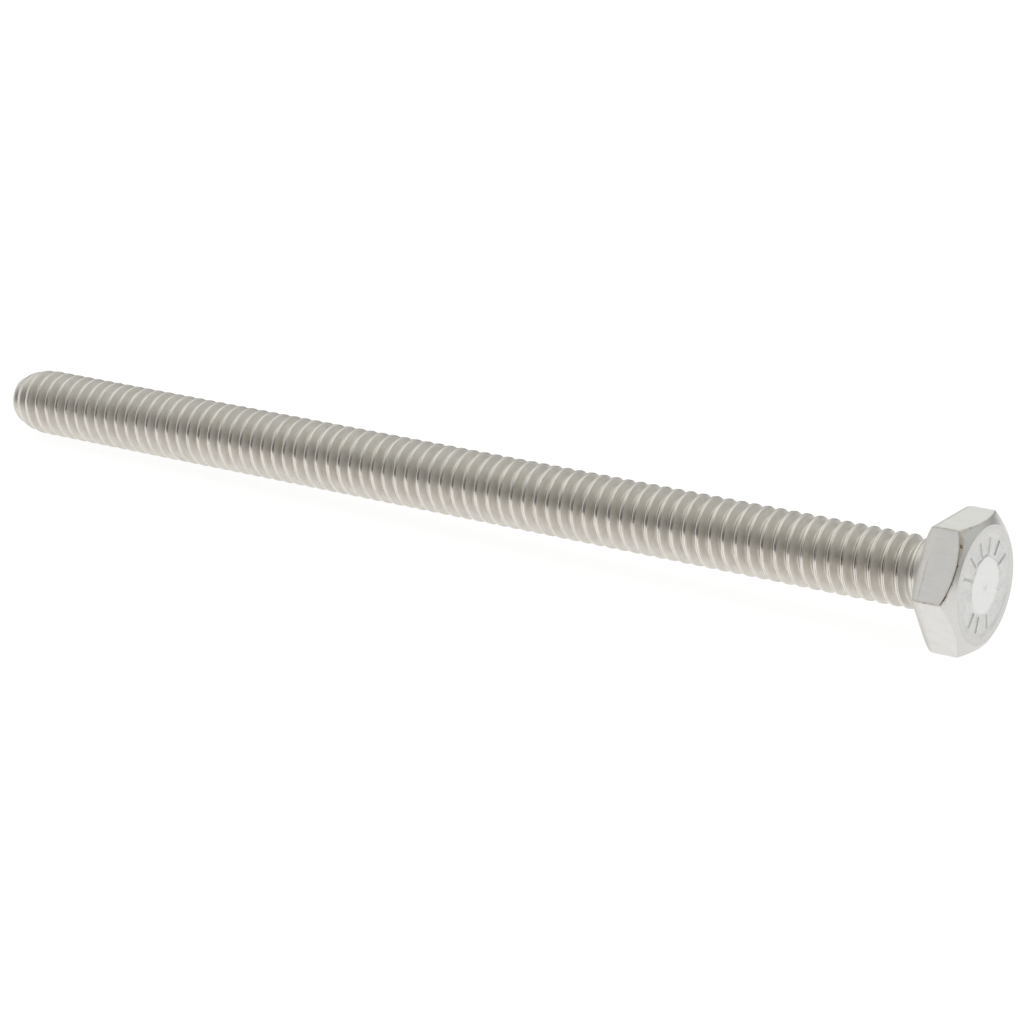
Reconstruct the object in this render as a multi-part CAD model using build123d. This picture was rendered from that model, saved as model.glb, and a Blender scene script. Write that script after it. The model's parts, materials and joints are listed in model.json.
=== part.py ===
from build123d import *
from math import atan, cos, degrees, radians, tan
import os

# A quarter-inch hex cap screw, twenty threads to the inch and threaded up to its neck, in millimetres.
# It is forged, trimmed and rolled from one piece of wire. It is drawn upright about its own axis, with
# the bearing face at height zero, the head above it and the shank below, and is then laid down on one
# flat of its head and the end of its thread, as it comes to rest on a bench.

# Head
across_flats = 10.87
head_height = 3.85
top_face_diameter = 10.03
top_chamfer_angle = 33.5        # from the plane of the top face
top_edge_radius = 0.15
roll_over_height = 0.9          # the trimming die rolls each flat over towards the bearing face,
roll_over_depth = 0.56          # from this height, by this depth
roll_over_radius = 1.25
seat_diameter = 10.4            # the bearing face, inside the chamfer under the corners
seat_chamfer_angle = 24         # from the bearing face
dimple_diameter = 1.3
dimple_depth = 0.12

# Shank
screw_length = 100.6            # from the bearing face to the end of the point
major_diameter = 6.22           # over the crests of the thread
neck_diameter = 5.6             # the wire before its thread is rolled
neck_length = 2.4
runout_length = 0.35            # from the neck out to the full crests
underhead_radius = 0.4
point_diameter = 4.2
point_length = 3.2              # how far the rounded point reaches back along the thread
end_edge_radius = 0.2

# Worked out from the sizes above
flat_distance = across_flats / 2
corner_distance = flat_distance / cos(radians(30))
seat_radius = seat_diameter / 2
top_face_radius = top_face_diameter / 2
major_radius = major_diameter / 2
neck_radius = neck_diameter / 2
point_radius = point_diameter / 2
point_start = screw_length - point_length


def flat_pair():
    """A slab between two opposite flats, which are rolled over towards the bearing face."""
    flat = Line((flat_distance, head_height), (flat_distance, roll_over_height))
    rolled = RadiusArc(flat @ 1, (flat_distance - roll_over_depth, 0), roll_over_radius)
    middle = Polyline(rolled @ 1, (0, 0), (0, head_height), flat @ 0)
    half = Plane.XZ * make_face(flat + rolled + middle)
    return extrude(half + mirror(half, about=Plane.YZ), corner_distance, both=True)


def hexagon_blank():
    """Three such slabs crossed at sixty degrees."""
    pair = flat_pair()
    return pair & Rotation(0, 0, 60) * pair & Rotation(0, 0, 120) * pair


def turned(*section):
    """Turns a closed half section, given as radius and height, about the axis."""
    return revolve(Plane.XZ * make_face(Polyline(*section, close=True)), Axis.Z)


def turned_envelope():
    """What the two chamfers leave of the head: a disc with a cone cut on each side."""
    outside = corner_distance + 1
    seat_rise = (outside - seat_radius) * tan(radians(seat_chamfer_angle))
    top_drop = (outside - top_face_radius) * tan(radians(top_chamfer_angle))
    envelope = turned(
        (0, 0),
        (seat_radius, 0),
        (outside, seat_rise),
        (outside, head_height - top_drop),
        (top_face_radius, head_height),
        (0, head_height),
    )
    rim = envelope.edges().filter_by(GeomType.CIRCLE).sort_by(Axis.Z)[-1]
    return fillet(rim, top_edge_radius)


def head():
    """The hexagon with both chamfers and the centre mark in its top face."""
    dimple = turned(
        (0, head_height - dimple_depth),
        (dimple_diameter / 2, head_height),
        (0, head_height),
    )
    return (hexagon_blank() & turned_envelope()) - dimple


def shank():
    """The neck with its radius under the head, the rod over the crests, and the rounded point."""
    thread_start = -neck_length - runout_length
    side = Polyline(
        (neck_radius, -underhead_radius),
        (neck_radius, -neck_length),
        (major_radius, thread_start),
        (major_radius, -point_start),
    )
    point = TangentArc((major_radius, -point_start), (point_radius, -screw_length), tangent=(0, -1))
    middle = Polyline(
        (point_radius, -screw_length),
        (0, -screw_length),
        (0, 0),
        (neck_radius + underhead_radius, 0),
    )
    underhead = TangentArc(side @ 0, middle @ 1, tangent=(0, 1))
    rod = revolve(Plane.XZ * make_face(side + point + middle + underhead), Axis.Z)
    end_edge = rod.edges().filter_by(GeomType.CIRCLE).sort_by(Axis.Z)[0]
    return fillet(end_edge, end_edge_radius)


def lying_angle():
    """How far the axis dips towards the tip when the head's flat and the last crests touch the bench."""
    return degrees(atan((flat_distance - major_radius) / (point_start + roll_over_height)))


# +X runs along the screw from its tip to its head, and the middle of the bearing face stays the origin.
screw = Rotation(0, 90 - lying_angle(), 0) * (head() + shank())

os.makedirs("parts", exist_ok=True)
export_step(screw, "parts/hex_cap_screw.step")
print("volume", round(screw.volume, 1), "mm3, lying angle", round(lying_angle(), 3), "degrees")
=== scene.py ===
import json
import math

import bmesh
import bpy
import numpy as np
from mathutils import Matrix, Vector


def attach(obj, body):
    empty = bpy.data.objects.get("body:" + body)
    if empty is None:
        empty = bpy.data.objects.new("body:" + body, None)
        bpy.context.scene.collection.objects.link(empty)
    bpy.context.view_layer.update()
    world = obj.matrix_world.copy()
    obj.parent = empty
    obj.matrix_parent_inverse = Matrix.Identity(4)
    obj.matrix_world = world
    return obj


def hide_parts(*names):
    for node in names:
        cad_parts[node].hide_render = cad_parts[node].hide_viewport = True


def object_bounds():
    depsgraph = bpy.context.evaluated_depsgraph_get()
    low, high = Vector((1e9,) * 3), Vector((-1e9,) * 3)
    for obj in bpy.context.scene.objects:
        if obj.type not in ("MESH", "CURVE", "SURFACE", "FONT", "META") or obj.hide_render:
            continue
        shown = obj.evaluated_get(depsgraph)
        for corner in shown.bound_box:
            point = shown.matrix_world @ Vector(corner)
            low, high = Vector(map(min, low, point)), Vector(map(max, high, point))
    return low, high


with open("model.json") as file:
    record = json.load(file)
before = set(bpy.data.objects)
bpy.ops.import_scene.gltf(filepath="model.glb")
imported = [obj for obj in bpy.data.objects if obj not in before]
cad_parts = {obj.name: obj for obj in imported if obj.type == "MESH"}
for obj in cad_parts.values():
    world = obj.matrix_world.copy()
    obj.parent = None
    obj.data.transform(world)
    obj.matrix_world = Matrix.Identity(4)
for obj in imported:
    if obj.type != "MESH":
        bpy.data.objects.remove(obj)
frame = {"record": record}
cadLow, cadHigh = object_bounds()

# A quarter-inch hex cap screw lying on a bench. Sizes are in millimetres and angles in degrees.

underHead = next(m for m in frame["record"]["mounts"] if m["name"] == "under_head")
screwAxis = -Vector(underHead["axis"]).normalized()  # from the point to the head
bearingPoint = Vector(underHead["pos_m"])
across = Vector((0, 1, 0))
downFlat = across.cross(screwAxis).normalized()  # square to the flat it lies on


# The screw is worked out upright, as rings round its own axis. An angle of 0 looks at the
# flat it lies on, and heights count up from the bearing face to the top of the head.
def toBench(angles, radii, heights):
    parts = (radii * np.cos(angles), radii * np.sin(angles), heights + 0 * angles)
    axes = [np.array(v) for v in (downFlat, across, screwAxis)]
    spots = sum(np.outer(part, axis) for part, axis in zip(parts, axes))
    return spots * 0.001 + np.array(bearingPoint)


def smooth(value, start, end):
    t = np.clip((value - start) / (end - start), 0, 1)
    return t * t * (3 - 2 * t)


def plateau(value, riseStart, riseEnd, fallStart, fallEnd):
    return smooth(value, riseStart, riseEnd) * (1 - smooth(value, fallStart, fallEnd))


def softLower(first, second, softness):
    # the lower of the two, with a small rounding where they cross
    return -softness * np.logaddexp(-first / softness, -second / softness)


# the forged head

headSizes = {
    "acrossFlats": 10.87,
    "height": 3.85,
    "topFace": 10.03,  # diameter inside the chamfer
    "topChamfer": 33.5,
    "topEdge": 0.15,
    "cornerRound": 0.2,
    "shoulderRound": 0.09,  # where the chamfer runs out on a flat
    "shoulderWorn": 0.24,  # the same at the corners
    "rollHeight": 0.9,  # the flats roll over towards the bearing face
    "rollDepth": 0.56,
    "rollRadius": 1.25,
    "rollWander": 0.09,  # how unevenly that line runs
    "seat": 10.4,  # diameter to which the corners of the bearing face are cut
    "seatChamfer": 24,
    "seatEdge": 0.06,
    "seatInset": 0.01,
    "softness": 0.03,  # of the edge between that cut and a flat
    "neck": 5.6,
    "neckRadius": 0.4,
    "neckReach": 1.0,  # how far down the neck the head's rows go
    "centreMark": 1.3,
    "centreMarkDepth": 0.12,
    "columnsPerFlat": 34,
    "cornerColumns": (0.2, 0.55, 0.95),  # degrees from a corner, close together to round it cleanly
    "flatColumns": 28.4,  # how far the even ones reach from the middle of a flat
    "middleRings": (0.12, 0.25, 0.38, 0.52, 0.66, 0.9, 1.3, 1.8, 2.2),
    "stampRings": (2.3, 4.5, 33),  # first, last and how many
    "rimRing": 4.65,
    "underShoulder": (0.08, 0.2),  # the first two rows of a flat, below the shoulder
    "rollStarts": (0.1, 0.04, 0.01, -0.02, -0.06),  # rows close above and below the roll-over's start
    "rollShares": (0.85, 0.74, 0.63, 0.52, 0.42, 0.33, 0.25, 0.18, 0.12, 0.07, 0.03),
}

# where round the head its edges are worn or carry a painted burr shadow, as the angles between which each
# kind of mark comes and goes
wearAndShadeSizes = {
    "tarnished": 235,  # where the edges are brownest
    "tarnishSpread": 50,
    "tarnishEnd": (266, 274),
    "trimLine": (225, 245),
    "chips": (211, 215, 226, 232),
    "burr": (232, 244, 267, 269),  # a thin near-black painted shadow line, as under a burr, along part of one shoulder
    "corner": (28.2, 30),  # counted from the middle of a flat
    "shoulderCorner": (24, 30),
    # shares of tarnish, painted burr shadow and chips on the last two rows of the chamfer and the five of the
    # shoulder
    "shoulderShares": ((0, 0, 0.75), (0.55, 0, 1.1), (0.8, 0, 1.1), (1, 0, 1.1),
                       (1, 1, 0.9), (1, 0.6, 0), (0.8, 0, 0)),
    "trimLineShares": (0, 0.35, 0.75, 0.5, 0),  # a fine line on the rows where the roll-over starts
}

stampSizes = {
    "boss": 2.3,  # radius of the smooth middle of the face
    "ring": 4.45,  # radius out to which the face is sunk round the bars
    "sunk": 0.09,
    "barRadius": 3.3,
    "barLength": 1.25,
    "barWidth": 0.05,
    "barBevel": 0.1,
    "barShadow": 0.1,
    "upperBars": (-66, -40, -14, 12, 38, 66),  # clockwise from the top of the face
    "lowerBars": (-136, -158, 172),
}


def headAngles():
    near, reach = np.array(headSizes["cornerColumns"]), headSizes["flatColumns"]
    spread = np.linspace(-reach, reach, headSizes["columnsPerFlat"] - 2 * len(near) - 1)
    sector = np.concatenate([[-30], -30 + near, spread, 30 - near[::-1]])
    return np.radians(np.concatenate([sector + 60 * flat for flat in range(6)]))


def offMiddle(angles):
    # degrees from the middle of the nearest flat
    return np.abs((np.degrees(angles) + 30) % 60 - 30)


def hexRadius(angles, apothem, rounding):
    # distance from the axis to a hexagon with rounded corners
    off = offMiddle(angles)
    flat = apothem / np.cos(np.radians(off))
    turn = np.radians(30 - off)
    centre = (apothem - rounding) / math.cos(math.pi / 6)
    rise = centre * np.sin(turn)
    corner = centre * np.cos(turn) + np.sqrt(np.maximum(rounding**2 - rise**2, 0))
    return np.where(rise < rounding / 2, np.minimum(corner, flat), flat)


def faceRelief(radius, angles):
    # the bars stand level with the boss and the rim, and the face between them is sunk
    stamp = stampSizes
    boss = stamp["boss"] + 0.1 * np.sin(4 * angles + 1) + 0.06 * np.sin(9 * angles)
    boss = boss + 0.04 * np.sin(17 * angles + 2)
    dish = smooth(radius, boss, boss + 0.3)
    dish = dish * (1 - smooth(radius, stamp["ring"] - 0.55, stamp["ring"]))
    bars, barShade = np.zeros_like(angles), np.zeros_like(angles)
    for bearing in stamp["upperBars"] + stamp["lowerBars"]:
        turn = angles - (math.pi - math.radians(bearing))
        over = radius * np.sin(turn)
        aside = np.abs(over) - stamp["barWidth"] / 2
        along = np.abs(radius * np.cos(turn) - stamp["barRadius"]) - stamp["barLength"] / 2
        outside = np.hypot(np.maximum(aside, 0), np.maximum(along, 0))
        distance = outside + np.minimum(np.maximum(aside, along), 0)
        bars = np.maximum(bars, 1 - smooth(distance, 0, stamp["barBevel"]))
        # painted shadow along each bar, later shown in the dark stamp colour
        shadow = np.exp(-((over / stamp["barShadow"]) ** 2)) * (1 - smooth(along, -0.02, 0.1))
        barShade = np.maximum(barShade, shadow)
    mark = headSizes["centreMark"] / 2
    depth = stamp["sunk"] * dish * (1 - bars)
    depth = depth + headSizes["centreMarkDepth"] * (1 - smooth(radius, 0, mark))
    return -depth, barShade


def ring(radius, height):
    # one row of the section: a radius and a height in every column
    radius, height = np.broadcast_arrays(radius, height)
    return np.stack([radius, height], axis=1)


def roundCorner(before, here, after, rounding, steps):
    # an arc of that radius, or less where the stretch beside it is short
    inward, outward = before - here, after - here
    inLength = np.linalg.norm(inward, axis=1, keepdims=True)
    outLength = np.linalg.norm(outward, axis=1, keepdims=True)
    inward, outward = inward / inLength, outward / outLength
    bend = np.arccos(np.clip(-(inward * outward).sum(1, keepdims=True), -1, 1)) / 2
    reach = np.minimum(rounding * np.tan(bend), 0.45 * np.minimum(inLength, outLength))
    start, end = here + inward * reach, here + outward * reach
    rows = []
    for t in np.linspace(0, 1, steps):
        a, b, c = (1 - t) ** 2, 2 * t * (1 - t) * np.cos(bend), t * t
        rows.append((a * start + b * here + c * end) / (a + b + c))
    return rows


def between(first, last, count):
    return [first + (last - first) * t for t in np.linspace(0, 1, count + 2)[1:-1]]


def rollIn(height, start):
    # how far inwards an arc has taken a flat at this height, from nothing at its start
    depth, radius = headSizes["rollDepth"], headSizes["rollRadius"]
    chord = np.hypot(depth, start)
    reach = np.sqrt(radius**2 - chord**2 / 4)
    centreIn = depth / 2 + reach * start / chord
    centreUp = start / 2 + reach * depth / chord
    low = np.minimum(height, start)
    return centreIn - np.sqrt(radius**2 - (low - centreUp) ** 2)


def headWearAndBurrShadow(angles):
    # how brown, lined and chipped the edges are all round the head, and where a burr's painted shadow line
    # runs
    w = wearAndShadeSizes
    turn = np.degrees(angles) % 360
    tarnish = 0.2 + 0.8 * np.exp(-(((turn - w["tarnished"]) / w["tarnishSpread"]) ** 2))
    return {
        "shoulder": tarnish * (1 - 0.85 * smooth(turn, *w["tarnishEnd"])),
        "corner": smooth(offMiddle(angles), *w["corner"]) * np.maximum(0.8 * tarnish, 0.35),
        "trimLine": tarnish * smooth(turn, *w["trimLine"]),
        "burr": plateau(turn, *w["burr"]),
        "chips": plateau(turn, *w["chips"]),
    }


def topFaceRows(angles):
    h = headSizes
    radii = list(h["middleRings"]) + list(np.linspace(*h["stampRings"])) + [h["rimRing"]]
    relief = [faceRelief(radius, angles) for radius in radii]
    rows = [ring(radius, h["height"] + height) for radius, (height, barShade) in zip(radii, relief)]
    return rows, [barShade for height, barShade in relief]


def chamferRows(angles, above, rollStart, wornOrPaintedLight):
    # the chamfer, and the scalloped line where it meets the flats
    h = headSizes
    faceRadius = h["topFace"] / 2
    slope = math.tan(math.radians(h["topChamfer"]))
    flatSide = hexRadius(angles, h["acrossFlats"] / 2, h["cornerRound"])
    rim = ring(np.full_like(angles, faceRadius), h["height"])
    shoulder = ring(flatSide, h["height"] - (flatSide - faceRadius) * slope)
    foot = ring(flatSide, rollStart + h["rollStarts"][0])
    nearCorner = smooth(offMiddle(angles), *wearAndShadeSizes["shoulderCorner"])
    rounding = h["shoulderRound"] + (h["shoulderWorn"] - h["shoulderRound"]) * nearCorner
    rimArc = roundCorner(above, rim, shoulder, h["topEdge"], 5)
    shoulderArc = roundCorner(rim, shoulder, foot, rounding[:, None], 5)
    rows = rimArc + between(rimArc[-1], shoulderArc[0], 5) + shoulderArc
    wearAndPaintedLight = [np.maximum(brown * wornOrPaintedLight["shoulder"] + line * wornOrPaintedLight["burr"], chip * wornOrPaintedLight["chips"])
            for brown, line, chip in wearAndShadeSizes["shoulderShares"]]
    return rows, [np.zeros_like(angles)] * (len(rows) - len(wearAndPaintedLight)) + wearAndPaintedLight


def flatRows(angles, above, rollStart, wornOrPaintedLight):
    # the flats, and their edges rolled over towards the bearing face
    h = headSizes
    slope = math.tan(math.radians(h["seatChamfer"]))
    heights = [above[:, 1] - drop for drop in h["underShoulder"]]
    heights += between(heights[-1], rollStart + h["rollStarts"][0], 5)
    lineShares = [0] * len(heights) + list(wearAndShadeSizes["trimLineShares"]) + [0] * len(h["rollShares"])
    heights += [rollStart + lift for lift in h["rollStarts"]]
    heights += [rollStart * share for share in h["rollShares"]]
    rows, wearAndPaintedLight = [], []
    for height, lineShare in zip(heights, lineShares):
        side = hexRadius(angles, h["acrossFlats"] / 2 - rollIn(height, rollStart), h["cornerRound"])
        cone = h["seat"] / 2 + height / slope
        rows.append(ring(softLower(side, cone, h["softness"]), height))
        wearAndPaintedLight.append(np.maximum(wornOrPaintedLight["corner"], lineShare * wornOrPaintedLight["trimLine"]))
    wearAndPaintedLight[0] = np.maximum(wearAndPaintedLight[0], 0.4 * wornOrPaintedLight["shoulder"])
    return rows, wearAndPaintedLight


def seatRows(angles, above):
    # bearing face, radius under the head and neck
    h = headSizes
    foot = hexRadius(angles, h["acrossFlats"] / 2 - h["rollDepth"], h["cornerRound"])
    seatEdge = ring(np.minimum(foot, h["seat"] / 2) - h["seatInset"], 0)
    neck = np.full_like(angles, h["neck"] / 2)
    neckFoot, neckEnd = ring(neck, 0), ring(neck, -h["neckReach"])
    seatArc = roundCorner(above, seatEdge, neckFoot, h["seatEdge"], 3)
    neckArc = roundCorner(seatEdge, neckFoot, neckEnd, h["neckRadius"], 7)
    return seatArc + between(seatArc[-1], neckArc[0], 3) + neckArc + [neckEnd]


def headRows(angles):
    # all rows from the middle of the top face to the neck, and between which of them the trimmed flats lie
    wander = 0.5 + 0.3 * np.sin(5 * angles + 1) + 0.2 * np.sin(13 * angles)
    rollStart = headSizes["rollHeight"] + headSizes["rollWander"] * wander
    wornOrPaintedLight = headWearAndBurrShadow(angles)
    rows, wearAndPaintedLight = topFaceRows(angles)
    counts = []
    for makeRows in (chamferRows, flatRows):
        moreRows, moreWearAndShade = makeRows(angles, rows[-1], rollStart, wornOrPaintedLight)
        rows += moreRows
        wearAndPaintedLight += moreWearAndShade
        counts.append(len(rows))
    rows += seatRows(angles, rows[-1])
    wearAndPaintedLight += [np.zeros_like(angles)] * (len(rows) - len(wearAndPaintedLight))
    return rows, wearAndPaintedLight, (counts[0] - 2, counts[1] - 1)


# the rolled thread

threadSizes = {
    "length": 100.595,  # from the bearing face to the end of the point
    "major": 6.22,
    "pitch": 1.27,
    "flankAngle": 30,
    "crestFlat": 0.10,
    "crestRound": (0.17, 0.10),  # towards the point and towards the head
    "rootRound": 0.19,
    "seam": 0.1,  # depth of the seam along the first crests
    "seamFade": (9.0, 16.0),
    "seamWidth": 0.04,
    # how dark the seam is painted: painted shade in its groove
    "seamShade": 2.5,
    "sway": 0.018,  # how unevenly the dies have rolled it
    "swayReach": (2.5, 4, 95, 98),
    "firstCrest": 3.6,  # below the bearing face, on the side of the flat it lies on
    "start": 1.15,
    "fadeStart": 1.2,  # where the thread starts to rise out of the neck
    "fadeEnd": 2.6,
    "pointStart": 97.0,
    "pointEnd": 4.2,  # diameter
    "pointGroove": 0.22,  # how much deeper the last turn runs, so that it still shows on the point
    "grooveReach": (2, 0.9),  # before the end of the point
    "pointEdge": 0.02,  # softness of the edge where the point cuts a crest
    "pointSpare": 0.012,  # makes up for what that softness takes off
    "end": 0.35,  # before the end of the point
    "endRound": 0.2,
    "endRings": (1.6, 1.1, 0.6),
    "columns": 48,
    "shoulderPhases": (0.04, 0.065, 0.12, 0.155, 0.89, 0.91, 0.94, 0.96),
    "shoulderHighlight": (0, 1, 1, 0, 0, 1, 1, 0),  # the edges of the crest are smoother and painted lighter, a painted highlight
    "phases": (0, 0.039, 0.066, 0.095, 0.125, 0.155, 0.26, 0.37, 0.415, 0.457,
               0.5, 0.543, 0.585, 0.63, 0.76, 0.87, 0.892, 0.914, 0.937, 0.961),  # shares of a pitch
}


def threadProfile(phase):
    # height over the axis along one pitch, with a narrow crest at 0 and a rounded root at a half
    t = threadSizes
    lean = math.radians(t["flankAngle"])
    side = (phase + 0.5) % 1 - 0.5
    run = np.abs(side) * t["pitch"]
    half = t["pitch"] / 2
    crest, root = np.where(side > 0, *t["crestRound"]), t["rootRound"]
    flat = t["crestFlat"] / 2
    crestRun, rootRun = flat + crest * math.cos(lean), root * math.cos(lean)
    crestFoot = t["major"] / 2 - crest * (1 - math.sin(lean))
    rootTop = crestFoot - (half - crestRun - rootRun) / math.tan(lean)
    floor = rootTop - root * (1 - math.sin(lean))
    onCrest = t["major"] / 2 - crest + np.sqrt(np.maximum(crest**2 - np.maximum(run - flat, 0) ** 2, 0))
    onFlank = crestFoot - (run - crestRun) / math.tan(lean)
    onRoot = floor + root - np.sqrt(np.maximum(root**2 - (half - run) ** 2, 0))
    return np.where(run < crestRun, onCrest, np.where(run < half - rootRun, onFlank, onRoot))


def pointRadius(down):
    # the rolled point curves in from the full thread to the end face
    t = threadSizes
    reach = t["length"] - t["pointStart"]
    drop = (t["major"] - t["pointEnd"]) / 2
    bow = (reach**2 + drop**2) / (2 * drop)
    far = np.clip(down - t["pointStart"], 0, reach)
    return t["major"] / 2 - bow + np.sqrt(bow**2 - far**2)


def seamShare(down, phase):
    # the first turns are left with a fine seam along their crests
    t = threadSizes
    offset = ((phase + 0.5) % 1 - 0.5) * t["pitch"]
    reach = smooth(down, t["fadeStart"], t["fadeStart"] + 0.3) * (1 - smooth(down, *t["seamFade"]))
    return reach * np.exp(-((offset / t["seamWidth"]) ** 2))


def threadRadius(down, phase):
    t = threadSizes
    neck = headSizes["neck"] / 2
    rolled = neck + (threadProfile(phase) - neck) * smooth(down, t["fadeStart"], t["fadeEnd"])
    grooveStart, grooveEnd = (t["length"] - reach for reach in t["grooveReach"])
    rolled = rolled - t["pointGroove"] * smooth(down, grooveStart, grooveEnd)
    rolled = rolled - t["seam"] * seamShare(down, phase)
    return softLower(rolled, pointRadius(down) + t["pointSpare"], t["pointEdge"])


def bridge(low, lowAngles, high, highAngles):
    # triangles between two rings that have different numbers of columns
    faces, i, j = [], 0, 0
    while i < len(low) or j < len(high):
        nextLow = lowAngles[i + 1] if i + 1 < len(low) else lowAngles[0] + 2 * math.pi
        nextHigh = highAngles[j + 1] if j + 1 < len(high) else highAngles[0] + 2 * math.pi
        a, b = low[i % len(low)], high[j % len(high)]
        if j >= len(high) or (i < len(low) and nextLow <= nextHigh):
            i += 1
            faces.append((a, b, low[i % len(low)]))
        else:
            j += 1
            faces.append((a, b, high[j % len(high)]))
    return faces


finishPlaces = {"forged": 0, "trimmed": 1, "rolled": 2}  # each finish's place among the materials


def ringFaces(upper, lower):
    # four-cornered faces between two rings that have the same number of columns
    count = len(upper)
    return [(upper[j], lower[j], lower[(j + 1) % count], upper[(j + 1) % count]) for j in range(count)]


def headMesh(angles):
    # from the middle of the top face down to the neck
    rows, wearAndPaintedLight, (trimStart, trimEnd) = headRows(angles)
    count = len(angles)
    verts = [toBench(np.zeros(1), 0, headSizes["height"] - headSizes["centreMarkDepth"])]
    verts += [toBench(angles, row[:, 0], row[:, 1]) for row in rows]
    index = 1 + np.arange(len(rows) * count).reshape(len(rows), count)
    faces = [(0, index[0, j], index[0, (j + 1) % count]) for j in range(count)]
    finishes = [finishPlaces["forged"]] * count
    for row, (upper, lower) in enumerate(zip(index[:-1], index[1:])):
        faces += ringFaces(upper, lower)
        finishes += [finishPlaces["trimmed" if trimStart <= row < trimEnd else "forged"]] * count
    return verts, faces, finishes, np.concatenate([np.zeros(1)] + wearAndPaintedLight), index[-1]


def threadRows(around):
    # Each column starts a little nearer the head than the one before, so one turn later
    # the last column meets the first a whole pitch of rows back.
    t = threadSizes
    begin, end = t["start"], t["length"] - t["end"]
    lead = -t["pitch"] * around / (2 * math.pi)
    first = math.floor((begin - t["firstCrest"] - lead[0]) / t["pitch"]) - 1
    last = math.ceil((end - t["firstCrest"] - lead[-1]) / t["pitch"]) + 1
    turns = (np.arange(first, last + 1)[:, None] + np.array(t["phases"])[None, :]).ravel()
    down = t["firstCrest"] + lead[None, :] + turns[:, None] * t["pitch"]
    held = np.clip(down, begin, end)
    return down, held, lead, (begin, end)


def threadMesh(around, total):
    t = threadSizes
    columns, perTurn = t["columns"], len(t["phases"])
    down, held, lead, (begin, end) = threadRows(around)
    phase = (held - t["firstCrest"] - lead) / t["pitch"]
    radii = threadRadius(held, phase)
    sway = 0.6 * np.sin(3 * around + 5.1 * held) + 0.4 * np.sin(5 * around - 3.3 * held + 1)
    sway = sway * t["sway"] * plateau(held, *t["swayReach"])
    spots = toBench(np.tile(around, len(down)), radii.ravel(), -(held + sway).ravel())
    # painted highlight on the crest edges
    wearAndPaintedLight = np.interp(phase % 1, t["shoulderPhases"], t["shoulderHighlight"])
    # painted shade in the seam groove
    wearAndPaintedLight = wearAndPaintedLight + t["seamShade"] * seamShare(held, phase) ** 2

    # rows past either end are drawn together into one ring there
    beginRing = total + np.arange(columns)
    endRing = beginRing + columns
    inside = (down > begin + 0.01) & (down < end - 0.01)
    index = np.zeros(down.shape, int)
    index[inside] = total + 2 * columns + np.arange(inside.sum())
    index = np.where(inside, index, np.where(down < t["length"] / 2, beginRing[None, :], endRing[None, :]))
    endRadii = [threadRadius(at, (at - t["firstCrest"] - lead) / t["pitch"]) for at in (begin, end)]
    verts = [toBench(around, radius, -at) for radius, at in zip(endRadii, (begin, end))]
    verts.append(spots[inside.ravel()])

    faces = []
    for row in range(len(down) - 1):
        for j in range(columns):
            back = 0 if j < columns - 1 else perTurn
            if row < back:
                continue
            k = (j + 1) % columns
            corners = (index[row, j], index[row + 1, j], index[row + 1 - back, k], index[row - back, k])
            kept = [c for n, c in enumerate(corners) if c != corners[n - 1]]
            if len(kept) > 2:
                faces.append(tuple(kept))
    wearAndPaintedLight = np.concatenate([np.zeros(2 * columns), wearAndPaintedLight[inside]])
    return verts, faces, wearAndPaintedLight, (beginRing, endRing), ring(endRadii[1], -end)


def pointMesh(around, tip, previous, total):
    # from the last of the thread to the middle of the end face
    t = threadSizes
    columns = len(around)
    edge = ring(np.full(columns, t["pointEnd"] / 2), -t["length"])
    middle = ring(np.full(columns, t["endRings"][-1]), -t["length"])
    rows = roundCorner(tip, edge, middle, t["endRound"], 6)
    rows += [ring(np.full(columns, r), -t["length"]) for r in t["endRings"]]
    verts, faces = [], []
    for row in rows:
        verts.append(toBench(around, row[:, 0], row[:, 1]))
        current = total + np.arange(columns)
        total += columns
        faces += ringFaces(previous, current)
        previous = current
    verts.append(toBench(np.zeros(1), 0, -t["length"]))
    faces += [(previous[j], total, previous[(j + 1) % columns]) for j in range(columns)]
    return verts, faces


def buildScrew():
    angles = headAngles()
    verts, faces, finishes, wearAndPaintedLight, neckRing = headMesh(angles)
    columns = threadSizes["columns"]
    around = angles[0] + np.arange(columns) * 2 * math.pi / columns
    threadVerts, threadFaces, threadHighlightAndShade, (beginRing, endRing), tip = threadMesh(around, len(wearAndPaintedLight))
    wearAndPaintedLight = np.concatenate([wearAndPaintedLight, threadHighlightAndShade])
    pointVerts, pointFaces = pointMesh(around, tip, endRing, len(wearAndPaintedLight))
    verts = np.concatenate(verts + threadVerts + pointVerts)
    faces += threadFaces + bridge(list(neckRing), angles, list(beginRing), around) + pointFaces
    finishes += [finishPlaces["rolled"]] * (len(faces) - len(finishes))

    mesh = bpy.data.meshes.new("hexCapScrew")
    mesh.from_pydata([tuple(v) for v in verts], [], [tuple(int(c) for c in f) for f in faces])
    mesh.polygons.foreach_set("material_index", finishes)
    mesh.polygons.foreach_set("use_smooth", [True] * len(finishes))
    # real wear on the head's edges, with painted shade along the bars and under a burr, a painted highlight
    # on the crest edges and painted shade in the seam
    edgeWearAndPaintedLight = mesh.attributes.new("edgeWearAndPaintedLight", "FLOAT", "POINT")
    edgeWearAndPaintedLight.data.foreach_set("value", np.append(wearAndPaintedLight, np.zeros(len(verts) - len(wearAndPaintedLight))).astype(np.float32))
    mesh.update()
    tidy = bmesh.new()
    tidy.from_mesh(mesh)
    bmesh.ops.recalc_face_normals(tidy, faces=tidy.faces)
    tidy.to_mesh(mesh)
    tidy.free()
    screw = bpy.data.objects.new("hexCapScrew", mesh)
    bpy.context.scene.collection.objects.link(screw)
    return screw


# the stainless finishes

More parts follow.
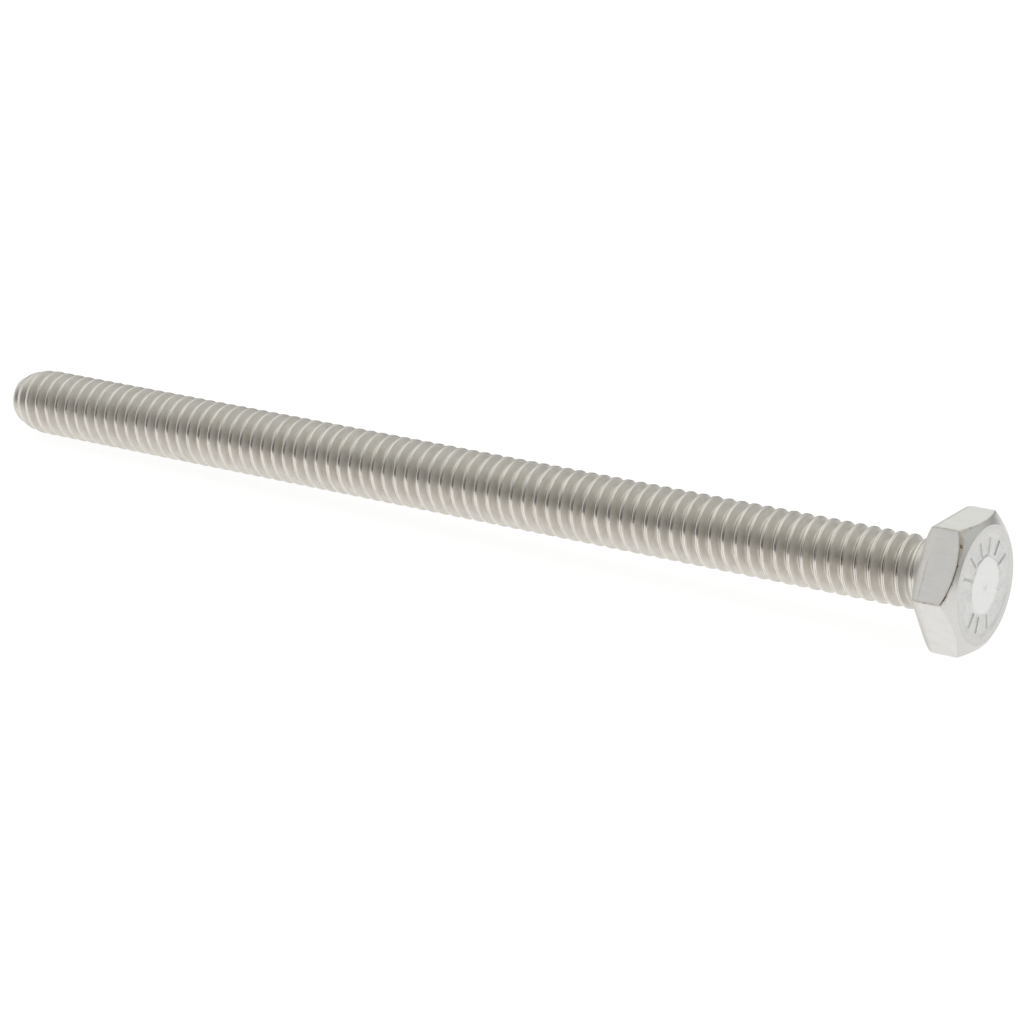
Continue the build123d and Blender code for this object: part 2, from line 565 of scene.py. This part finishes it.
def addNodes(tree):
    # makes a node, links or fills its sockets and returns the output named, or the first in use
    def add(kind, inputs=None, output=None, **settings):
        node = tree.nodes.new(kind)
        for key, item in settings.items():
            setattr(node, key, item)
        for key, item in (inputs or {}).items():
            if isinstance(item, bpy.types.NodeSocket):
                tree.links.new(item, node.inputs[key])
            else:
                node.inputs[key].default_value = item
        return node.outputs[output] if output else next(s for s in node.outputs if s.enabled)

    def maths(operation, first, second=0.0):
        return add("ShaderNodeMath", {0: first, 1: second}, operation=operation)

    def step(value, low, high, atLow=0.0, atHigh=1.0):
        return add("ShaderNodeMapRange", {"Value": value, "From Min": low, "From Max": high,
                                          "To Min": atLow, "To Max": atHigh})

    def blend(share, first, second):
        return add("ShaderNodeMix", {"Factor": share, "A": first, "B": second}, data_type="RGBA")

    def noise(spot, scale, detail):
        return add("ShaderNodeTexNoise", {"Vector": spot, "Scale": scale, "Detail": detail, "Roughness": 0.6})

    return add, maths, step, blend, noise


def screwPlaces(add):
    # millimetres towards the head, down to the bench and across it
    place = add("ShaderNodeTexCoord", output="Object")
    spot = add("ShaderNodeVectorMath", {0: place, 1: bearingPoint}, operation="SUBTRACT")
    return [add("ShaderNodeVectorMath", {0: spot, 1: direction * 1000}, operation="DOT_PRODUCT")
            for direction in (screwAxis, downFlat, across)]


def axisDistance(maths, down, side):
    return maths("SQRT", maths("ADD", maths("MULTIPLY", down, down), maths("MULTIPLY", side, side)))


def joined(add, x, y, z):
    return add("ShaderNodeCombineXYZ", {"X": x, "Y": y, "Z": z})


def startMetal(name):
    material = bpy.data.materials.new(name)
    material.use_nodes = True
    return material, addNodes(material.node_tree)


bumpHeight = 0.00002  # in metres


def finishMetal(material, colour, roughness, lift, strength):
    # links what was worked out for a metal to its shader
    tree = material.node_tree
    shader = tree.nodes["Principled BSDF"]
    add = addNodes(tree)[0]
    bump = add("ShaderNodeBump", {"Strength": strength, "Distance": bumpHeight, "Height": lift})
    for key, socket in (("Base Color", colour), ("Roughness", roughness), ("Normal", bump)):
        tree.links.new(socket, shader.inputs[key])
    shader.inputs["Metallic"].default_value = 1
    return shader


edgeLook = {
    "tarnish": (0.50, 0.43, 0.33, 1),
    "chip": (0.20, 0.15, 0.10, 1),
    # near-black painted shadow line, as under a burr
    "burr": (0.10, 0.09, 0.08, 1),
    "patches": 1.6,  # to the millimetre, as all the scales below
    "flakes": 2.1,
}


def tarnishEdgesAndBurrShadow(nodes, place, wornOrPaintedLight, colour):
    # brown tint and chips on the shoulders and corners, and the painted shadow line of one burr
    maths, step, blend, noise = nodes[1:]
    look = edgeLook
    patches = noise(place, look["patches"], 4.0)
    edge = maths("MULTIPLY", step(wornOrPaintedLight, 0.1, 0.9), step(patches, 0.3, 0.55, 0.35, 1.0))
    colour = blend(maths("MULTIPLY", edge, 0.7), colour, look["tarnish"])
    flaking = maths("ADD", noise(place, look["flakes"], 5.0), step(wornOrPaintedLight, 1.0, 1.1, 0.0, 0.09))
    chips = maths("MULTIPLY", step(wornOrPaintedLight, 0.4, 0.7), step(flaking, 0.57, 0.61))
    colour = blend(chips, colour, look["chip"])
    # the painted burr shadow where the mask runs past 1.15
    return blend(step(wornOrPaintedLight, 1.15, 1.5), colour, look["burr"]), chips


forgedLook = {
    "boss": (0.77, 0.765, 0.75, 1),
    "face": (0.75, 0.745, 0.73, 1),
    "rim": (0.62, 0.61, 0.59, 1),
    "chamfer": (0.69, 0.68, 0.655, 1),
    "grey": (0.80, 0.80, 0.80, 1),  # multiplies those three in patches
    # stamp: colour of the painted shadow along the bars and of the dark specks in the ring
    "stamp": (0.34, 0.33, 0.31, 1),
    "roughness": 0.32,
    "mottle": 0.14,  # how much the grain changes that
    "bump": 0.25,
    "grain": 5.0,
    "clouds": 0.9,
    "specks": 3.2,
    # radii between which one part of the face turns into the next
    "bossEnd": (2.35, 2.5),
    "ringStart": (2.25, 2.5),
    "ringEnd": (4.3, 4.7),
    "rimStart": (4.2, 4.8),
    "faceEnd": (4.9, 5.0),
}


def forgedSteel():
    # top face and chamfer
    look = forgedLook
    material, nodes = startMetal("forgedHead")
    add, maths, step, blend, noise = nodes
    along, down, side = screwPlaces(add)
    radius = axisDistance(maths, down, side)
    place = joined(add, along, down, side)
    wornOrPaintedLight = add("ShaderNodeAttribute", output="Fac", attribute_name="edgeWearAndPaintedLight")

    grain = noise(place, look["grain"], 4.0)
    cloud = noise(place, look["clouds"], 3.0)
    onFace = step(radius, *look["faceEnd"], 1.0, 0.0)
    onRing = maths("MULTIPLY", step(radius, *look["ringStart"]), step(radius, *look["ringEnd"], 1.0, 0.0))
    blotches = maths("MULTIPLY", onRing, step(cloud, 0.35, 0.65, 0.1, 0.6))
    tone = maths("ADD", step(grain, 0.4, 0.75, 0.0, 0.35), blotches)
    face = blend(step(radius, *look["rimStart"]), look["face"], look["rim"])
    plain = blend(step(radius, *look["bossEnd"]), look["boss"], face)
    plain = blend(onFace, look["chamfer"], plain)
    shade = blend(tone, (1, 1, 1, 1), look["grey"])
    colour = add("ShaderNodeVectorMath", {0: plain, 1: shade}, operation="MULTIPLY")
    specks = step(noise(place, look["specks"], 3.0), 0.6, 0.66)
    specks = maths("MULTIPLY", specks, maths("MULTIPLY", onRing, 0.4))
    # painted shade along the bars on the face, together with the dark specks in the ring
    barShadeAndSpecks = maths("MAXIMUM", maths("MULTIPLY", maths("MULTIPLY", wornOrPaintedLight, onFace), 0.8), specks)
    colour = blend(barShadeAndSpecks, colour, look["stamp"])
    edges = maths("MULTIPLY", wornOrPaintedLight, maths("SUBTRACT", 1.0, onFace))
    colour = tarnishEdgesAndBurrShadow(nodes, place, edges, colour)[0]
    dull = maths("ADD", maths("MULTIPLY", grain, look["mottle"]), maths("MULTIPLY", onRing, 0.08))
    roughness = maths("ADD", dull, look["roughness"] - look["mottle"] / 2)
    lift = maths("ADD", maths("MULTIPLY", grain, 0.4), maths("MULTIPLY", cloud, 3.0))
    finishMetal(material, colour, roughness, lift, look["bump"])
    return material


trimmedLook = {
    "colour": (0.955, 0.94, 0.915, 1),
    "streak": (0.89, 0.875, 0.85, 1),
    "rolled": (0.84, 0.83, 0.81, 1),  # multiplies them where a flat rolls over
    "roughness": 0.68,
    "mottle": 0.12,
    "drawn": 0.65,
    "bump": 0.2,
    "rollsOver": (0.5, 0.95),  # from the bearing face up
    "lines": (0.5, 8.0),  # along the screw and across it
    "clouds": 0.8,
}


def trimmedSteel():
    # the flats, with the fine lines that the trimming die draws along them
    look = trimmedLook
    material, nodes = startMetal("trimmedFlats")
    add, maths, step, blend, noise = nodes
    along, down, side = screwPlaces(add)
    place = joined(add, along, down, side)
    wornOrPaintedLight = add("ShaderNodeAttribute", output="Fac", attribute_name="edgeWearAndPaintedLight")

    linesAlong, linesAcross = look["lines"]
    drawn = noise(joined(add, maths("MULTIPLY", along, linesAlong), maths("MULTIPLY", down, linesAcross),
                         maths("MULTIPLY", side, linesAcross)), 1.0, 4.0)
    cloud = noise(place, look["clouds"], 3.0)
    tone = maths("ADD", step(drawn, 0.4, 0.7, 0.0, 0.5), step(cloud, 0.35, 0.7, 0.0, 0.4))
    colour = blend(tone, look["colour"], look["streak"])
    rolled = blend(step(along, *look["rollsOver"]), look["rolled"], (1, 1, 1, 1))
    colour = add("ShaderNodeVectorMath", {0: colour, 1: rolled}, operation="MULTIPLY")
    colour, chips = tarnishEdgesAndBurrShadow(nodes, place, wornOrPaintedLight, colour)
    dull = maths("ADD", maths("MULTIPLY", drawn, look["mottle"]), maths("MULTIPLY", chips, 0.2))
    roughness = maths("ADD", dull, look["roughness"] - look["mottle"] / 2)
    lift = maths("ADD", maths("MULTIPLY", drawn, 0.4), maths("MULTIPLY", cloud, 2.0))
    shader = finishMetal(material, colour, roughness, lift, look["bump"])
    tangent = add("ShaderNodeTangent", direction_type="RADIAL", axis="X")
    material.node_tree.links.new(tangent, shader.inputs["Tangent"])
    shader.inputs["Anisotropic"].default_value = look["drawn"]
    return material


threadLook = {
    "crest": (0.70, 0.672, 0.62, 1),
    # shoulder: painted highlight on the crest edges, lighter than the crest
    "shoulder": (0.84, 0.82, 0.76, 1),
    "flank": (0.765, 0.733, 0.68, 1),
    "streak": (0.82, 0.81, 0.79, 1),  # multiplies those three along the fine lines
    # seam: painted shade in the seam groove
    "seam": (0.38, 0.35, 0.30, 1),
    "nick": (0.26, 0.23, 0.19, 1),
    "roughness": 0.25,
    "flankRoughness": 0.48,
    "mottle": 0.16,
    "bump": 0.12,
    "lines": (6.0, 1.8),  # across the lines to the millimetre, and round the screw to the radian
    "clouds": 0.8,
    "nicks": (1.9, 1.6),  # the second stretches them along the screw
    # radii between which the crests and the nicks come in
    "crestStart": (2.98, 3.07),
    "nickStart": (2.8, 3.0),
}


def threadSteel():
    look = threadLook
    material, nodes = startMetal("rolledThread")
    add, maths, step, blend, noise = nodes
    along, down, side = screwPlaces(add)
    radius = axisDistance(maths, down, side)
    angle = maths("ARCTAN2", side, maths("MULTIPLY", down, -1.0))
    wornOrPaintedLight = add("ShaderNodeAttribute", output="Fac", attribute_name="edgeWearAndPaintedLight")

    # the rolling dies leave fine lines that follow the thread round
    linesAcross, linesRound = look["lines"]
    drawn = noise(joined(add, maths("MULTIPLY", along, linesAcross), maths("MULTIPLY", radius, linesAcross),
                         maths("MULTIPLY", angle, linesRound)), 1.0, 4.0)
    broad = noise(joined(add, along, down, side), look["clouds"], 3.0)
    tone = maths("ADD", step(drawn, 0.35, 0.7, 0.0, 0.6), step(broad, 0.4, 0.7, 0.0, 0.4))
    tone = blend(tone, (1, 1, 1, 1), look["streak"])
    onCrest = step(radius, *look["crestStart"])
    # the crest edges are smoother and painted lighter, a painted highlight
    smootherAndPaintedHighlight = step(wornOrPaintedLight, 0.3, 0.8)
    colour = blend(smootherAndPaintedHighlight, blend(onCrest, look["flank"], look["crest"]), look["shoulder"])
    colour = add("ShaderNodeVectorMath", {0: colour, 1: tone}, operation="MULTIPLY")
    # painted shade in the seam along the first crests
    colour = blend(step(wornOrPaintedLight, 1.2, 1.7), colour, look["seam"])
    nickScale, nickStretch = look["nicks"]
    stretched = joined(add, along, maths("MULTIPLY", down, nickStretch), maths("MULTIPLY", side, nickStretch))
    nicks = step(noise(stretched, nickScale, 5.0), 0.69, 0.73)
    nicks = maths("MULTIPLY", nicks, step(radius, *look["nickStart"]))
    colour = blend(maths("MULTIPLY", nicks, 0.7), colour, look["nick"])
    dull = maths("ADD", maths("MULTIPLY", drawn, look["mottle"]), maths("MULTIPLY", nicks, 0.2))
    flankRough, crestRough = (look[key] - look["mottle"] / 2 for key in ("flankRoughness", "roughness"))
    base = step(maths("MAXIMUM", onCrest, smootherAndPaintedHighlight), 0.0, 1.0, flankRough, crestRough)
    roughness = maths("ADD", dull, base)
    lift = maths("ADD", maths("MULTIPLY", drawn, 0.5), broad)
    finishMetal(material, colour, roughness, lift, look["bump"])
    return material


screw = buildScrew()
print("screw made:", len(screw.data.polygons), "faces")

for finish in (forgedSteel, trimmedSteel, threadSteel):  # as in finishPlaces
    screw.data.materials.append(finish())
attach(screw, "root")
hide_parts("hex_cap_screw")
print("finishes put on:", ", ".join(material.name for material in screw.data.materials))


# the bench, the camera and the light

floorLook = {
    "colour": 0.8,
    "seen": 0.9,  # its own light where it is looked at or reflected
    "shaded": 0.2,  # what it then adds from the lamps, which keeps the shadow
    "radius": 2.5,
}


def makeFloor():
    # pale all round; seen straight or in the steel it is white, apart from the screw's soft shadow
    material = bpy.data.materials.new("paleBench")
    material.use_nodes = True
    tree = material.node_tree
    add, maths = addNodes(tree)[:2]
    plain, shaded = ((floorLook[key],) * 3 + (1,) for key in ("colour", "shaded"))
    ways = tree.nodes.new("ShaderNodeLightPath").outputs
    seen = maths("ADD", ways["Is Camera Ray"], ways["Is Glossy Ray"])
    seen = maths("ADD", seen, ways["Is Transmission Ray"])
    pale = add("ShaderNodeBsdfDiffuse", {"Color": plain})
    glow = add("ShaderNodeEmission", {"Color": (1, 1, 1, 1), "Strength": floorLook["seen"]})
    white = add("ShaderNodeAddShader", {0: add("ShaderNodeBsdfDiffuse", {"Color": shaded}), 1: glow})
    both = add("ShaderNodeMixShader", {0: seen, 1: pale, 2: white})
    tree.links.new(both, tree.nodes["Material Output"].inputs["Surface"])
    tree.nodes.remove(tree.nodes["Principled BSDF"])
    mesh = bpy.data.meshes.new("bench")
    floor = bmesh.new()
    bmesh.ops.create_circle(floor, cap_ends=True, segments=96, radius=floorLook["radius"])
    floor.to_mesh(mesh)
    floor.free()
    bench = bpy.data.objects.new("bench", mesh)
    bench.location = (0, 0, cadLow.z)
    mesh.materials.append(material)
    bpy.context.scene.collection.objects.link(bench)


cameraPlace = {
    "spot": (114.66, -227.95, 93.42),  # millimetres from the middle of the bearing face
    "aim": (-42.1, -0.93, -2.43),
    "roll": 0.039,
    "lens": 116.05,
    "sensor": 36,
    "nearest": 0.01,
}


def makeCamera():
    camera = bpy.data.cameras.new("camera")
    camera.lens = cameraPlace["lens"]
    camera.sensor_width = cameraPlace["sensor"]
    camera.clip_start = cameraPlace["nearest"]
    stand = bpy.data.objects.new("camera", camera)
    stand.location = Vector(cameraPlace["spot"]) * 0.001
    direction = Vector(cameraPlace["aim"]) - Vector(cameraPlace["spot"])
    roll = Matrix.Rotation(math.radians(cameraPlace["roll"]), 3, "Z")
    stand.rotation_euler = (direction.to_track_quat("-Z", "Y").to_matrix() @ roll).to_euler()
    bpy.context.scene.collection.objects.link(stand)
    bpy.context.scene.camera = stand


softbox = {"spot": (-0.1, 0.1, 1.6), "size": (2.6, 2.6), "power": 5}  # metres and watts


def makeSoftbox():
    lamp = bpy.data.lights.new("overheadSoftbox", "AREA")
    lamp.shape = "RECTANGLE"
    lamp.size, lamp.size_y = softbox["size"]
    lamp.energy = softbox["power"]
    stand = bpy.data.objects.new("overheadSoftbox", lamp)
    stand.location = softbox["spot"]
    stand.rotation_euler = (-Vector(softbox["spot"])).to_track_quat("-Z", "Y").to_euler()
    bpy.context.scene.collection.objects.link(stand)


studioLook = {
    # brightness of the studio at the sine of each height above the bench, in front and behind
    "front": ((0.0, 0.05), (0.14, 0.13), (0.36, 0.22), (0.62, 0.52), (0.8, 0.62), (1.0, 0.78)),
    "back": ((0.0, 0.06), (0.12, 0.22), (0.3, 0.70), (0.55, 0.76), (0.8, 0.80), (1.0, 0.80)),
    "overhead": (0.965, 1.0, 0.98, 1),
    "tipEnd": 0.9,
    "headEnd": 0.45,
    "behindCamera": (0.06, 0.05, 0.035, 1),
    # how far round each of these comes in, as the parts of a direction along an axis
    "frontToBack": (-0.35, 0.35),
    "headReach": (-0.2, 0.4),
    "tipReach": (-0.66, -0.86),
    "behindReach": (0.05, 0.3),
    "lowReach": (0.35, 0.1),
    "overheadReach": (0.2, 0.8),
    "cameraReach": (0.72, 0.95),
}


def makeWorld():
    # dim walls near the bench, soft light above them and past the point, and the dark place behind the camera
    look = studioLook
    world = bpy.data.worlds.new("studio")
    bpy.context.scene.world = world
    world.use_nodes = True
    tree = world.node_tree
    add, maths, step, blend = addNodes(tree)[:4]
    direction = add("ShaderNodeTexCoord", output="Generated")
    way = add("ShaderNodeSeparateXYZ", {0: direction}).node.outputs

    def wall(levels):
        ramp = tree.nodes.new("ShaderNodeValToRGB")
        while len(ramp.color_ramp.elements) < len(levels):
            ramp.color_ramp.elements.new(0.5)
        for element, (height, level) in zip(ramp.color_ramp.elements, levels):
            element.position = height
            element.color = (level, level, level, 1)
        tree.links.new(way["Z"], ramp.inputs["Fac"])
        return ramp.outputs["Color"]

    level = blend(step(way["Y"], *look["frontToBack"]), wall(look["front"]), wall(look["back"]))
    level = maths("MAXIMUM", level, step(way["X"], *look["headReach"], 0.0, look["headEnd"]))
    behindLow = maths("MULTIPLY", step(way["Y"], *look["behindReach"]), step(way["Z"], *look["lowReach"]))
    pastPoint = maths("MULTIPLY", step(way["X"], *look["tipReach"]), maths("SUBTRACT", 1.0, behindLow))
    level = blend(pastPoint, level, (look["tipEnd"],) * 3 + (1,))
    tint = blend(step(way["Z"], *look["overheadReach"]), (1, 1, 1, 1), look["overhead"])
    colour = add("ShaderNodeVectorMath", {0: level, 1: tint}, operation="MULTIPLY")
    toCamera = (Vector(cameraPlace["spot"]) - Vector(cameraPlace["aim"])).normalized()
    near = add("ShaderNodeVectorMath", {0: direction, 1: toCamera}, operation="DOT_PRODUCT")
    colour = blend(step(near, *look["cameraReach"]), colour, look["behindCamera"])
    tree.links.new(colour, tree.nodes["Background"].inputs["Color"])


makeFloor()
makeCamera()
makeWorld()
makeSoftbox()
bpy.context.scene.view_settings.view_transform = "Standard"
print("bench, camera and light placed")
